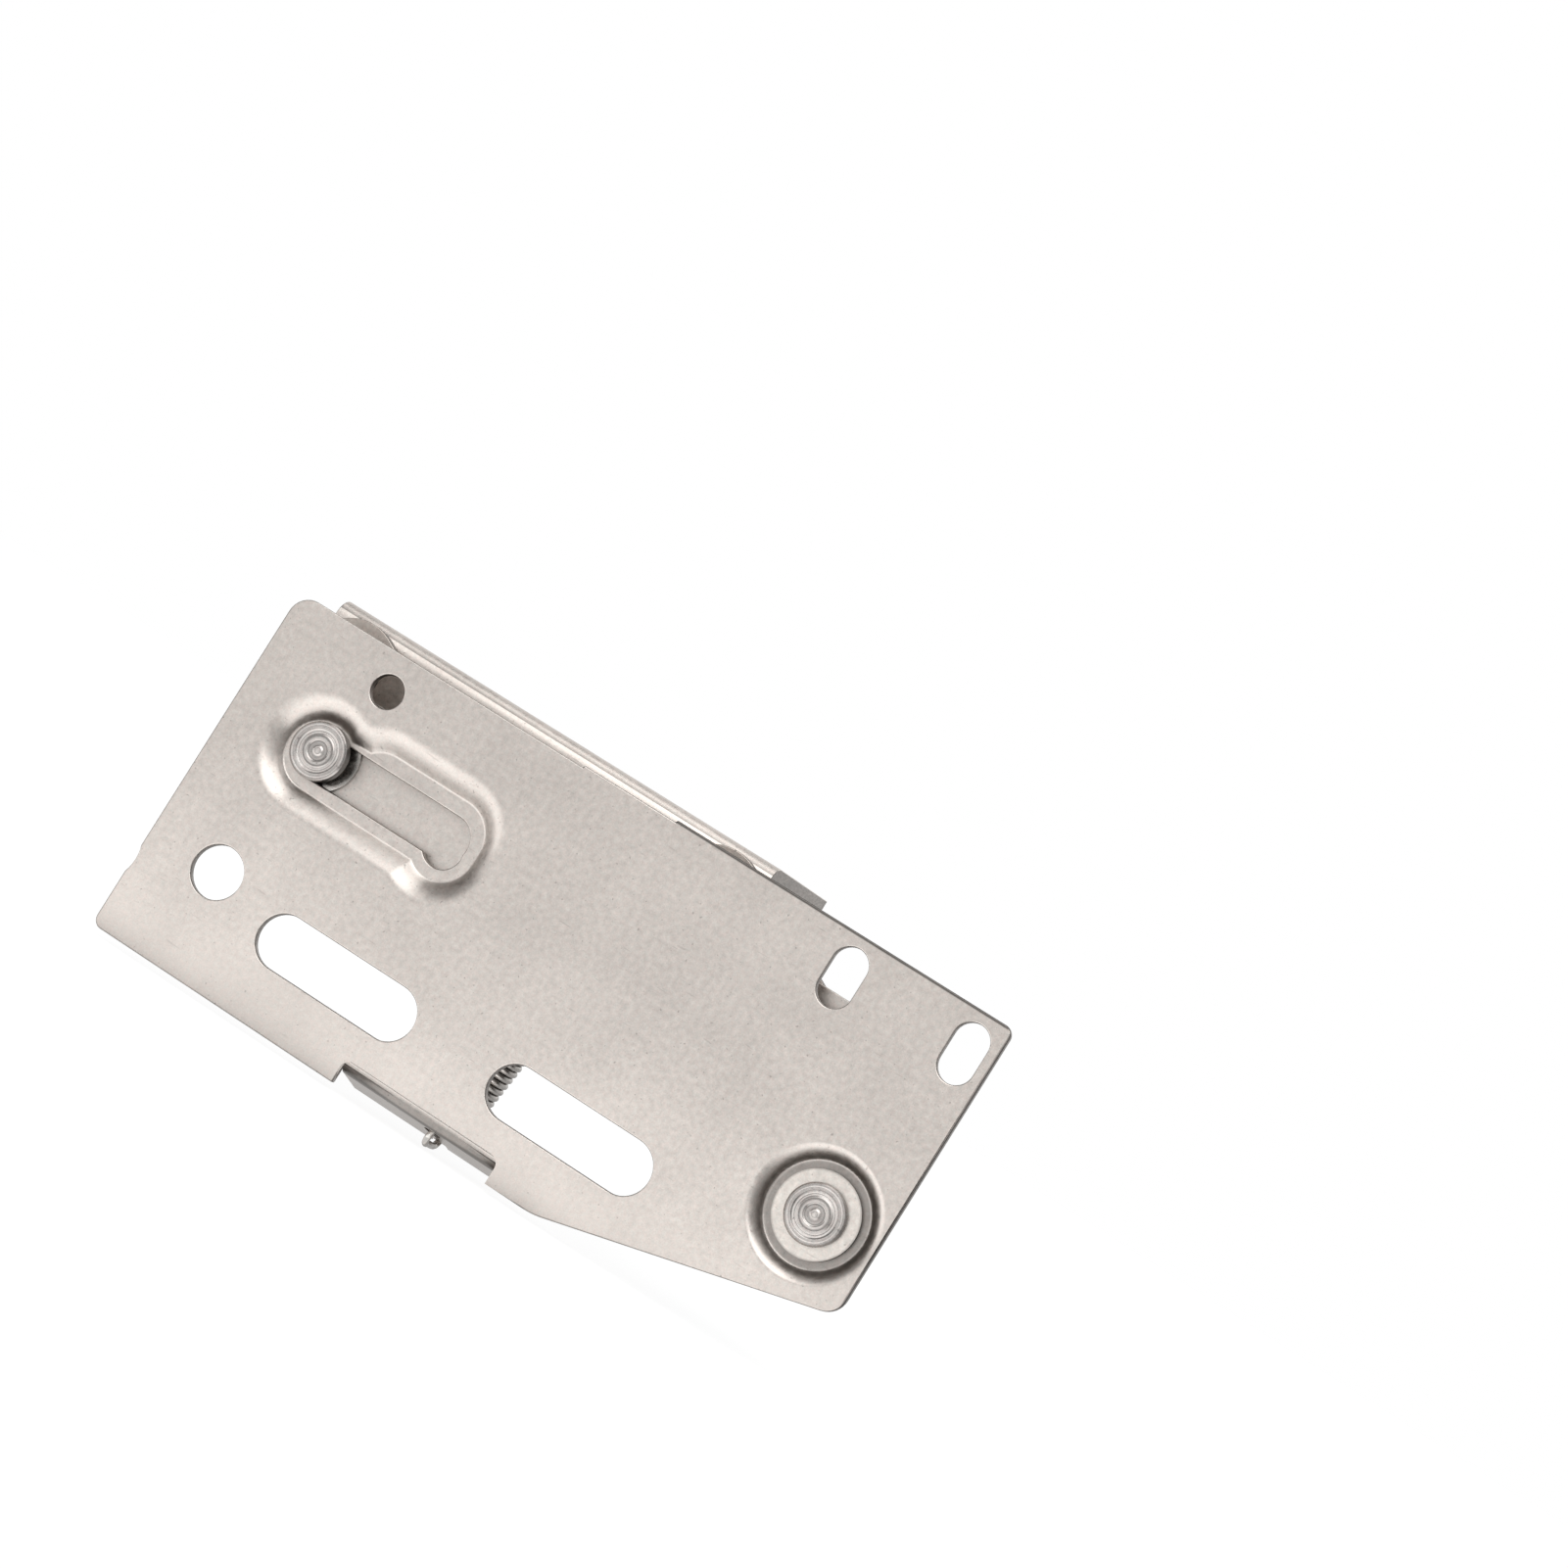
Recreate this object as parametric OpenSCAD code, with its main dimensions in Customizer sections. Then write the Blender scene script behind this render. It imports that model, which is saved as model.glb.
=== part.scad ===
// Flip-up door hinge, the hand that sits on the cabinet's right side wall.
// X runs along the plate's upper edge, Y into the cabinet, Z up.
// The origin is the centre of the two long fixing slots, on the mounting face.

/* [Mounting plate] */
// Length of the plate along its upper edge
plate_length = 96; // [94:0.5:110]
// Height of the plate at its front end
plate_height = 44.7; // [44:0.1:52]
// Height of the plate at its pivot end
plate_end_height = 35.8; // [34:0.1:38]
// Length of the straight lower edge, before it slants up
plate_straight = 61.5; // [56:0.5:66]
// Thickness of the plate's sheet
plate_t = 1.2; // [1:0.1:1.4]
// Radius of the plate's front upper and rear lower corners
plate_corner_r = 2.5; // [1:0.1:3.5]
// Radius of the plate's front lower and rear upper corners
tight_corner_r = 1.2; // [0.5:0.1:2.5]
// Distance from the upper edge down to the small nick in the front end
nick_drop = 36; // [35.5:0.1:38]
// Depth of that nick
nick_depth = 0.3; // [0.1:0.05:0.4]
// Radius of that nick
nick_r = 5; // [3:0.5:6]
// Height of each small sheared step in the upper edge
shear_step = 0.3; // [0.1:0.05:0.4]
// Distance from the front end to the first sheared step
shear_at = 39.4; // [36:0.1:42]
// Distance between the two sheared steps
shear_pitch = 12.4; // [10:0.1:15]

/* [Fixing slots and holes] */
// Distance between the two long slots
slot_pitch = 32; // [28:1:34]
// Distance from the plate's front end to the first long slot
slot_first = 28; // [27:0.5:30]
// Distance from the plate's upper edge down to the long slots
slot_drop = 34.8; // [34:0.1:35.5]
// Overall length of a long slot
slot_length = 21.3; // [16:0.1:23]
// Width of a long slot
slot_width = 6.5; // [5:0.1:7]
// Diameter of the round fixing hole
hole_d = 6.3; // [5:0.1:7]
// Distance from the front end to the round hole
hole_x = 9.5; // [8:0.1:11]
// Distance from the upper edge down to the round hole
hole_drop = 32.2; // [31:0.1:36]
// Distance from the front end to the first short slot
short_slot_x = 76.9; // [70:0.1:78]
// Distance between the two short slots
short_slot_pitch = 15.7; // [12:0.1:16]
// Distance from the upper edge down to the short slots
short_slot_drop = 5; // [4.8:0.1:7]
// Overall height of a short slot
short_slot_length = 7.2; // [5:0.1:8]
// Width of a short slot
short_slot_width = 4.2; // [3:0.1:4.6]
// Diameter of the access hole
access_d = 4; // [3:0.1:5]
// Distance from the front end to the access hole
access_x = 15.2; // [12:0.1:24]
// Distance from the upper edge down to the access hole
access_drop = 5; // [4:0.1:5.2]

/* [Guide slot and its dish] */
// Distance from the front end to the slide pin at rest
guide_x = 11.8; // [11:0.1:13]
// Distance from the upper edge down to the slot's centre line
guide_drop = 15.2; // [14.8:0.1:15.6]
// Length of the slot's centre line
guide_length = 17.9; // [17:0.1:20]
// Width of the guide slot
guide_width = 5.4; // [5.2:0.1:6]
// Radius of the pocket at the slot's far end
pocket_r = 2.4; // [2.1:0.1:2.6]
// Depth of the pocket below the slot's lower edge
pocket_drop = 0.9; // [0.4:0.1:1.4]
// Distance from the end of the slot's centre line to the pocket's centre
pocket_shift = 0.3; // [0:0.1:0.6]
// Width of the flat rim round the guide slot
guide_rim = 1.5; // [1:0.1:2]
// Width of the sloping wall round the dish
guide_wall = 3; // [2:0.1:3.2]
// Distance from the slide pin at rest to where the dish widens
guide_neck = 8; // [7:0.5:9]
// How far the dish is narrower before that place, and wider after it
guide_swell = 0.4; // [0.2:0.1:0.5]
// Depth of the dish that holds the guide slot
guide_depth = 1.8; // [1.6:0.1:2.2]

/* [Main pivot] */
// Distance from the front end to the main pivot
pivot_x = 88.1; // [86:0.1:88.2]
// Distance from the upper edge down to the main pivot
pivot_drop = 28; // [27:0.1:29]
// Radius of the pivot dish's flat floor
pivot_floor_r = 6; // [5.6:0.1:6.1]
// Width of the sloping wall round the pivot dish
pivot_wall = 1.8; // [1.4:0.1:1.8]
// Depth of the pivot dish
pivot_depth = 1.6; // [1.5:0.1:1.9]
// Radius of the bush's front flange
bush_flange_r = 5; // [4.4:0.1:5.4]
// Thickness of the bush's front flange
bush_flange_t = 0.7; // [0.5:0.05:0.8]
// Radius of the bush's neck through the plate
bush_neck_r = 3.7; // [3.4:0.1:4]
// Radius of the bush's collar behind the plate
bush_collar_r = 5.4; // [4.8:0.1:6]
// Radius of the washer behind the long arm
pivot_washer_r = 5; // [4.4:0.1:6]
// Thickness of the washer behind the long arm
pivot_washer_t = 0.6; // [0.4:0.1:1]

/* [Spring tab] */
// Distance from the front end to the notch that holds the tab
notch_x = 34; // [31:0.5:36]
// Width of that notch
notch_width = 21.2; // [20:0.1:24]
// Height of that notch
notch_height = 3.1; // [2.6:0.1:3.4]
// Radius of that notch's upper corners
notch_corner_r = 1.2; // [0.4:0.1:1.6]
// Width of the relief cut at each side of the tab
tab_relief = 0.2; // [0.15:0.05:0.8]
// Angle through which the tab is bent
tab_angle = 78; // [76:1:84]
// Inner radius of the tab's bend
tab_bend_r = 0.4; // [0.3:0.1:0.8]
// Length of the tab beyond its bend
tab_length = 6.6; // [6:0.1:7]
// Diameter of the spring's hole near the tab's root
tab_hole_d = 2.2; // [1.8:0.1:2.6]
// Distance from the bend to that hole
tab_hole_at = 1.6; // [1.4:0.1:1.9]
// Depth of the notch in the tab's free edge
tab_notch = 1.4; // [1.2:0.1:1.6]

/* [Arms] */
// Radius of the arms' round ends at the lugs and at the main pivot
arm_r = 5.7; // [5.2:0.1:6.2]
// Half of the long arm's width between its centre and the main pivot
arm_rear_r = 4.7; // [4.3:0.1:4.8]
// Radius of the short arm's end at the link
arm_end_r = 5.3; // [4.8:0.1:5.4]
// Thickness of the arms' sheet
arm_t = 1.5; // [1.2:0.1:2]
// Distance from the front end to the centre pivot
centre_x = 29.6; // [29.4:0.1:29.8]
// Distance from the upper edge down to the centre pivot
centre_drop = 15.9; // [15.8:0.1:16.1]
// Distance from the main pivot to the spring's notch in the long arm
hook_at = 38; // [34:0.5:42]
// Width of that notch
hook_notch_width = 2; // [1.4:0.1:3]
// Depth of that notch
hook_notch = 0.7; // [0.4:0.1:1.2]

/* [Slide link] */
// Thickness of the link's sheet
link_t = 1.3; // [1:0.1:1.6]
// Distance from the slide pin to the link's front end
link_front = 4.8; // [4.2:0.1:5.5]
// Distance from the plate's upper edge down to the link's upper edge
link_top_drop = 6.8; // [6.4:0.1:8]
// Size of the chamfer on the link's front upper corner
link_chamfer = 3.2; // [1:0.1:4]
// Radius of the link's round end
link_end_r = 5.8; // [5.2:0.1:6.4]
// Width of the notch in the link's upper edge, over the spring's hook
link_notch_width = 4.4; // [3:0.1:6]
// Depth of that notch
link_notch = 5.4; // [3:0.1:6]

/* [Door bracket] */
// Length of the bracket along the door
bracket_length = 60.6; // [60:0.2:62]
// Distance from the plate's front end to the bracket's front end
bracket_x = 1.3; // [0.8:0.1:1.6]
// Thickness of the bracket's sheet
bracket_t = 1.4; // [1.2:0.1:1.6]
// Height of the flange's face above the plate's upper edge
flange_rise = 1.5; // [1:0.1:2.5]
// Depth of the flange, from the wall to its free edge
flange_depth = 29.8; // [28:0.2:34]
// Outer radius of the bend between wall and flange
bracket_bend_r = 2; // [1.8:0.1:2.2]
// Radius of the flange's free corners
flange_corner_r = 3; // [1:0.1:4]
// Height of the bracket's wall
wall_height = 8; // [7.6:0.1:8.6]
// Distance from the short arm's lug to the wall's end
wall_end = 5.3; // [4.6:0.1:5.6]
// Radius of the lugs round the bracket's pivots
lug_r = 5.9; // [5.2:0.1:6.2]
// Distance from the plate's front end to the long arm's lug
lug_x = 6.8; // [6.6:0.1:7.2]
// Distance from the plate's upper edge down to the lugs' pivots
lug_drop = 5; // [4.8:0.1:5.4]
// Distance between the two lugs
lug_pitch = 50.7; // [49:0.1:52]
// Overall length of a flange slot
flange_slot_length = 13; // [10:0.1:14]
// Width of a flange slot
flange_slot_width = 5; // [4.2:0.1:5.5]
// Distance between the two slots that run along the flange
along_pitch = 30; // [26:0.5:34]
// Distance from the wall's face to the slots that run along the flange
along_y = 7.8; // [7:0.1:9]
// Distance between neighbouring slots that run across the flange
cross_pitch = 25.4; // [22:0.2:26]
// Distance from the wall's face to the middle of the slots that run across
cross_y = 19.1; // [19:0.1:21]

/* [Rivets, spacers and washers] */
// Radius of the rivets' shanks
shank_r = 2.5; // [2:0.1:3]
// Radius of the rivets' round heads
head_r = 4; // [3.6:0.1:4.4]
// Thickness of those heads
head_t = 1; // [0.8:0.1:1.2]
// Depth of the recess in each arm that a lug rivet's head lies in
head_recess = 0.8; // [0.4:0.1:1]
// Size of the heads' broken edges
head_edge = 0.2; // [0.1:0.05:0.25]
// Depth of the turned rings in the heads
ring_depth = 0.1; // [0.05:0.01:0.15]
// Radius of the main pivot's visible head
pivot_head_r = 3.5; // [3.2:0.1:3.9]
// Thickness of the main pivot's visible head
pivot_head_t = 0.8; // [0.5:0.1:0.8]
// Depth of the centre stud's seat in the link
stud_depth = 0.8; // [0.5:0.1:0.9]
// Radius of the spacers
spacer_r = 5; // [4.4:0.1:5.6]
// Thickness of the spacers between link and arms
spacer_t = 2.2; // [2:0.1:3]
// Radius of the lug washers
washer_r = 4.8; // [4:0.1:5.4]
// Thickness of the lug washers
washer_t = 0.5; // [0.3:0.05:0.8]
// Radius of the slide pin's visible head
slide_head_r = 3.4; // [3.2:0.1:3.6]
// Thickness of the slide pin's visible head
slide_head_t = 1.4; // [1:0.1:1.5]
// Radius of the slide pin's shank in the guide slot
slide_shank_r = 1.5; // [1.3:0.05:1.5]
// Radius of the slide pin's tail behind the link
slide_tail_r = 2.9; // [2.4:0.1:3.2]
// Radius of the slide pin's washer
slide_washer_r = 4.2; // [3.8:0.1:4.6]
// Height of the slide pin above the slot's centre line at rest
slide_lift = 0.5; // [0.4:0.05:0.6]

/* [Tension spring] */
// Distance from the plate's front end to the spring's lower hook
spring_x = 46.2; // [43:0.1:48]
// Radius of the spring's wire
wire_r = 0.4; // [0.3:0.02:0.42]
// Mean radius of the spring's coils
coil_r = 2.65; // [2.3:0.05:2.75]
// Distance from the coil's centre line out to the straight lead above it
coil_offset = 1.3; // [1.1:0.05:1.4]
// Distance along the spring from its foot to the first coil
coil_start = 3; // [2.9:0.05:3.2]
// Rise of the coil per turn
coil_pitch = 1.25; // [1.25:0.01:1.35]
// Turns of the coil, before the part turn that leads to the upper hook
coil_turns = 11; // [8:1:11]
// Length of the upper hook's legs
hook_leg = 3; // [2.5:0.1:3.5]

/* [Clearances] */
// Gap between parts that turn or slide on each other
running_gap = 0.05; // [0.02:0.01:0.08]
// Gap between the guide dish's back and the slide link
link_clear = 0.5; // [0.4:0.05:0.8]
// Gap between the slide pin's head and the dish's floor
slide_clear = 0.1; // [0.05:0.01:0.2]
// Gap between the spring's wire and what it hooks round
hook_clear = 0.3; // [0.2:0.05:0.5]

/* [Hidden] */
$fn = 64;

// Places on the plate, from distances to its front end and its upper edge
left_x = -slot_first - slot_pitch / 2;
top_z = slot_drop;
function from_corner(x, drop) = [left_x + x, top_z - drop];

// Pivots in the X-Z plane
main_pivot = from_corner(pivot_x, pivot_drop);
centre_pivot = from_corner(centre_x, centre_drop);
long_arm_lug = from_corner(lug_x, lug_drop);
short_arm_lug = long_arm_lug + [lug_pitch, 0];
link_end_pivot = centre_pivot + [lug_pitch, 0];
guide_start = from_corner(guide_x, guide_drop);
guide_end = guide_start + [guide_length, 0];
slide_pivot = guide_start + [0, slide_lift];
pocket_centre = guide_end + [pocket_shift, pocket_r - guide_width / 2 - pocket_drop];

// Layers from the mounting face inwards
guide_back_y = guide_depth + plate_t;
link_y = guide_back_y + link_clear;
link_back_y = link_y + link_t;
stud_y = link_back_y - stud_depth;
arm_y = link_back_y + spacer_t;
arm_back_y = arm_y + arm_t;
wall_y = arm_back_y + washer_t;
wall_back_y = wall_y + bracket_t;

// A little more than nothing, for cuts that must pass a face
cut = 1;
bore_r = shank_r + running_gap;
recess_r = head_r + 3 * running_gap;
press_steps = 6;

// Colours as photographed
steel = [0.80, 0.77, 0.74];
warm_steel = [0.82, 0.77, 0.71];
arm_steel = [0.52, 0.48, 0.45];
rivet_steel = [0.66, 0.64, 0.62];
wire_steel = [0.74, 0.72, 0.69];

// Points of a corner rounded with radius r
function unit(v) = v / norm(v);
function direction(v) = atan2(v[1], v[0]);
function fillet(before, p, after, r, steps = 8) =
    let (
        u = unit(before - p),
        v = unit(after - p),
        half = acos(u * v) / 2,
        centre = p + unit(u + v) * r / sin(half),
        start = direction(p + u * r / tan(half) - centre),
        end = direction(p + v * r / tan(half) - centre),
        turn = (end - start + 540) % 360 - 180
    )
    [for (i = [0:steps]) centre + r * [cos(start + turn * i / steps), sin(start + turn * i / steps)]];

// A closed outline whose corners are rounded, or kept sharp where the radius is 0
function rounded(pts, radii) =
    let (n = len(pts))
    [for (i = [0:n - 1])
        each (radii[i] == 0 ? [pts[i]] : fillet(pts[(i + n - 1) % n], pts[i], pts[(i + 1) % n], radii[i]))];

// A flat shape of the X-Z plane as a sheet that starts at depth y
module sheet(y, t) {
    translate([0, y + t, 0]) rotate([90, 0, 0]) linear_extrude(t) children();
}

// A profile of the Y-Z plane drawn out along X
module along_x(x, length) {
    translate([x, 0, 0]) rotate([90, 0, 90]) linear_extrude(length) children();
}

// A profile of radius and depth turned about a pivot
module turned(p) {
    translate([p[0], 0, p[1]]) rotate([-90, 0, 0]) rotate_extrude() children();
}

module drum(p, y, h, r) {
    translate([p[0], y, p[1]]) rotate([-90, 0, 0]) cylinder(h = h, r = r);
}

// A flat bar with round ends
module bar(p, q, r) {
    translate(p) circle(r);
    translate(q) circle(r);
    translate(p) rotate(direction(q - p)) translate([0, -r]) square([norm(q - p), 2 * r]);
}

// A stamped strap whose round ends may differ, as one outline
module stamped_bar(p, p_r, q, q_r, steps = 24) {
    spread = acos((p_r - q_r) / norm(q - p));
    along = direction(q - p);
    function rim(c, r, a) = c + r * [cos(a), sin(a)];
    polygon(concat(
        [for (i = [0:steps]) rim(q, q_r, along - spread + 2 * spread * i / steps)],
        [for (i = [0:steps]) rim(p, p_r, along + spread + (360 - 2 * spread) * i / steps)]));
}

module slot(p, length, width, angle = 0) {
    reach = (length - width) / 2;
    translate(p) rotate(angle) bar([-reach, 0], [reach, 0], width / 2);
}

// The curved flank of a pressed dish, soft at its mouth and crisp at its floor
function flank(r, wall, mouth_y, floor_y) =
    [for (i = [0:press_steps])
        [r + wall * (1 - i / press_steps), mouth_y + (floor_y - mouth_y) * (1 - cos(90 * i / press_steps))]];

// How far the floor's corner moves outwards from a pressed sheet's front to its back
function back_shift(depth, wall) = plate_t * tan(atan(PI / 2 * depth / wall) / 2);

// One round end of a pressed dish
module press_spot(p, r, wall, mouth_y, floor_y, over) {
    turned(p) polygon(concat([[0, mouth_y - over], [r + wall, mouth_y - over]],
        flank(r, wall, mouth_y, floor_y), [[0, floor_y]]));
}

// A straight stretch of a pressed dish
module press_run(p, q, r, wall, mouth_y, floor_y, over) {
    side = flank(r, wall, mouth_y, floor_y);
    other = [for (i = [press_steps:-1:0]) [-side[i][0], side[i][1]]];
    translate([p[0], 0, p[1]]) rotate([0, 90 - direction(q - p), 0]) linear_extrude(norm(q - p))
        polygon(concat([[r + wall, mouth_y - over]], side, other, [[-r - wall, mouth_y - over]]));
}

// The pressed dish of the guide slot, whose floor is grown by a sheet's corner on its back
module guide_dish(grow, mouth_y, floor_y, over) {
    r = guide_width / 2 + guide_rim + grow;
    wall = guide_wall - grow;
    pocket_rim = pocket_r + guide_rim + grow;
    low = [0, -guide_swell];
    high = [0, guide_swell];
    neck = [guide_neck, 0];
    press_spot(guide_start, r, wall, mouth_y, floor_y, over);
    press_spot(guide_start + neck + high, r, wall, mouth_y, floor_y, over);
    press_spot(guide_end + high, r, wall, mouth_y, floor_y, over);
    press_spot(pocket_centre, pocket_rim, wall, mouth_y, floor_y, over);
    press_run(guide_start + low, guide_end + low, r - guide_swell, wall, mouth_y, floor_y, over);
    press_run(guide_start + neck + high, guide_end + high, r, wall, mouth_y, floor_y, over);
    press_run(pocket_centre, guide_end + [pocket_shift, 0] + high, pocket_rim, wall, mouth_y, floor_y, over);
}

guide_shift = back_shift(guide_depth, guide_wall);
pivot_shift = back_shift(pivot_depth, pivot_wall);

// Spring tab: its bend's centre in the Y-Z plane and its place along X
bend_centre = [plate_t + tab_bend_r, top_z - plate_height + notch_height];
tab_x = left_x + notch_x + tab_relief;
tab_width = notch_width - 2 * tab_relief;
hook_x = left_x + spring_x;
function on_tab(depth, along) =
    bend_centre + along * [sin(tab_angle), -cos(tab_angle)] - depth * [cos(tab_angle), sin(tab_angle)];

module tab_profile() {
    outer_r = tab_bend_r + plate_t;
    far_r = 2 * outer_r;
    corner_r = far_r / cos(tab_angle / 2);
    intersection() {
        translate(bend_centre) difference() {
            circle(outer_r);
            circle(tab_bend_r);
        }
        polygon([bend_centre, bend_centre - [far_r, 0],
            bend_centre - corner_r * [cos(tab_angle / 2), sin(tab_angle / 2)],
            bend_centre - far_r * [cos(tab_angle), sin(tab_angle)]]);
    }
    translate(bend_centre) rotate(tab_angle) translate([-outer_r, -tab_length]) square([plate_t, tab_length]);
}

module spring_tab() {
    middle = tab_bend_r + plate_t / 2;
    difference() {
        along_x(tab_x, tab_width) tab_profile();
        translate([hook_x, bend_centre[0], bend_centre[1]]) rotate([tab_angle, 0, 0]) {
            translate([0, -middle, -tab_hole_at]) rotate([90, 0, 0])
                cylinder(h = plate_t + 2 * cut, d = tab_hole_d, center = true);
            translate([0, -middle, -tab_length])
                cube([tab_hole_d, plate_t + 2 * cut, 2 * tab_notch], center = true);
        }
    }
}

module plate_outline() {
    right_x = left_x + plate_length;
    bottom_z = top_z - plate_height;
    first = left_x + shear_at;
    second = first + shear_pitch;
    polygon(rounded(
        [[left_x, bottom_z], [left_x, top_z - 2 * shear_step], [first, top_z - 2 * shear_step],
            [first, top_z - shear_step], [second, top_z - shear_step], [second, top_z], [right_x, top_z],
            [right_x, top_z - plate_end_height], [left_x + plate_straight, bottom_z]],
        [tight_corner_r, plate_corner_r, 0, 0, 0, 0, tight_corner_r, plate_corner_r, 4 * plate_corner_r]));
}

module plate_cuts() {
    notch_start = left_x + notch_x;
    notch_end = notch_start + notch_width;
    bottom_z = top_z - plate_height;
    for (i = [0, 1]) {
        slot([(i - 0.5) * slot_pitch, 0], slot_length, slot_width);
        slot(from_corner(short_slot_x + i * short_slot_pitch, short_slot_drop), short_slot_length,
            short_slot_width, 90);
    }
    translate(from_corner(hole_x, hole_drop)) circle(d = hole_d);
    translate(from_corner(access_x, access_drop)) circle(d = access_d);
    translate([left_x + nick_depth - nick_r, top_z - nick_drop]) circle(nick_r);
    polygon(rounded([[notch_start, bottom_z - cut], [notch_start, bend_centre[1]], [notch_end, bend_centre[1]],
        [notch_end, bottom_z - cut]], [0, notch_corner_r, notch_corner_r, 0]));
}

module guide_cut() {
    bar(guide_start, guide_end, guide_width / 2);
    translate(pocket_centre) circle(pocket_r);
}

module mounting_plate() {
    color(steel) {
        difference() {
            union() {
                sheet(0, plate_t) difference() {
                    plate_outline();
                    plate_cuts();
                }
                guide_dish(guide_shift, plate_t, guide_back_y, plate_t / 2);
                press_spot(main_pivot, pivot_floor_r + pivot_shift, pivot_wall - pivot_shift, plate_t,
                    plate_t + pivot_depth, plate_t / 2);
            }
            guide_dish(0, 0, guide_depth, cut);
            press_spot(main_pivot, pivot_floor_r, pivot_wall, 0, pivot_depth, cut);
            sheet(guide_depth - cut, plate_t + 2 * cut) guide_cut();
            drum(main_pivot, 0, plate_t + pivot_depth + cut, bush_neck_r + running_gap);
        }
        spring_tab();
    }
}

// Bracket wall with its two lugs, below the bend
module wall_outline() {
    left = left_x + bracket_x;
    bend_foot = top_z + flange_rise - bracket_bend_r;
    bottom = top_z + flange_rise - wall_height;
    right = short_arm_lug[0] + wall_end;
    difference() {
        union() {
            translate([left, bottom]) square([right - left, bend_foot - bottom]);
            translate(long_arm_lug) circle(lug_r);
            translate(short_arm_lug) circle(lug_r);
        }
        translate([left - 2 * lug_r, bottom - 2 * lug_r]) square([2 * lug_r, 4 * lug_r + wall_height]);
        translate([left - cut, bend_foot]) square([bracket_length + 2 * lug_r, lug_r]);
        translate(long_arm_lug) circle(bore_r);
        translate(short_arm_lug) circle(bore_r);
    }
}

module bracket_bend() {
    centre = [wall_y + bracket_bend_r, top_z + flange_rise - bracket_bend_r];
    intersection() {
        translate(centre) difference() {
            circle(bracket_bend_r);
            circle(bracket_bend_r - bracket_t);
        }
        translate([wall_y, centre[1]]) square(bracket_bend_r);
    }
}

module flange_outline() {
    left = left_x + bracket_x;
    right = left + bracket_length;
    middle = (left + right) / 2;
    root = wall_y + bracket_bend_r;
    edge = wall_y + flange_depth;
    difference() {
        polygon(rounded([[left, root], [right, root], [right, edge], [left, edge]],
            [0, 0, flange_corner_r, flange_corner_r]));
        for (i = [-1, 1]) {
            slot([middle + i * along_pitch / 2, wall_y + along_y], flange_slot_length, flange_slot_width);
        }
        for (i = [-1:1]) {
            slot([middle + i * cross_pitch, wall_y + cross_y], flange_slot_length, flange_slot_width, 90);
        }
    }
}

module door_bracket() {
    color(warm_steel) {
        sheet(wall_y, bracket_t) wall_outline();
        along_x(left_x + bracket_x, bracket_length) bracket_bend();
        translate([0, 0, top_z + flange_rise - bracket_t]) linear_extrude(bracket_t) flange_outline();
    }
}

// Unit vectors along and square to the long arm's rear stretch
arm_line = unit(centre_pivot - main_pivot);
arm_up = [arm_line[1], -arm_line[0]];
hook_seat = main_pivot + hook_at * arm_line + (arm_rear_r - hook_notch) * arm_up;

module long_arm() {
    color(arm_steel) difference() {
        sheet(arm_y, arm_t) difference() {
            union() {
                translate(main_pivot) circle(arm_r);
                stamped_bar(main_pivot, arm_rear_r, centre_pivot, arm_rear_r);
                stamped_bar(centre_pivot, arm_r, long_arm_lug, arm_r);
            }
            translate(main_pivot) circle(bore_r);
            translate(centre_pivot) circle(bore_r);
            translate(long_arm_lug) circle(bore_r);
            translate(hook_seat) rotate(direction(arm_line)) translate([0, -hook_notch])
                square([hook_notch_width, 2 * hook_notch], center = true);
        }
        drum(long_arm_lug, arm_y - cut, cut + head_recess, recess_r);
    }
}

module short_arm() {
    color(arm_steel) difference() {
        sheet(arm_y, arm_t) difference() {
            stamped_bar(link_end_pivot, arm_end_r, short_arm_lug, arm_r);
            translate(link_end_pivot) circle(bore_r);
            translate(short_arm_lug) circle(bore_r);
        }
        drum(short_arm_lug, arm_y - cut, cut + head_recess, recess_r);
    }
}

module link_outline() {
    front = slide_pivot[0] - link_front;
    end = link_end_pivot[0] + link_end_r;
    top = top_z - link_top_drop;
    bottom = link_end_pivot[1] - link_end_r;
    polygon(rounded([[front, bottom], [front, top - link_chamfer], [front + link_chamfer, top], [end, top],
        [end, bottom]], [link_chamfer, 1, 1, link_end_r, link_end_r]));
}

module slide_link() {
    color(steel) difference() {
        sheet(link_y, link_t) difference() {
            link_outline();
            translate([hook_seat[0], top_z - link_top_drop])
                square([link_notch_width, 2 * link_notch], center = true);
            translate(slide_pivot) circle(slide_shank_r + running_gap);
            translate(link_end_pivot) circle(bore_r);
        }
        drum(centre_pivot, stud_y, link_t, bore_r);
    }
}

// Half profile of a headed face with its shallow turned rings, from the rim to the axis
ring_shares = [0.82, 0.76, 0.62, 0.56, 0.42, 0.36, 0.2, 0.14];
function ringed(r, y, sink) =
    concat([[r, y]], [for (i = [0:len(ring_shares) - 1])
        [ring_shares[i] * r, i % 4 == 1 || i % 4 == 2 ? y + sink : y]], [[0, y]]);

// Half profile of a plain head that closes a rivet behind, from the axis to its seat
function closed_head(r, back_y) =
    let (top_y = back_y + head_t)
    [[0, top_y], [r - 3 * head_edge, top_y], [r, top_y - 2 * head_edge], [r, back_y]];

// Rivet from a ringed head in front to a plain head behind
module rivet(p, front_t, front_r, seat_y, back_y) {
    front_y = seat_y - front_t;
    turned(p) polygon(concat(closed_head(head_r, back_y), [[shank_r, back_y], [shank_r, seat_y],
        [front_r, seat_y], [front_r, front_y + head_edge]],
        ringed(front_r - head_edge, front_y, ring_depth)));
}

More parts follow.
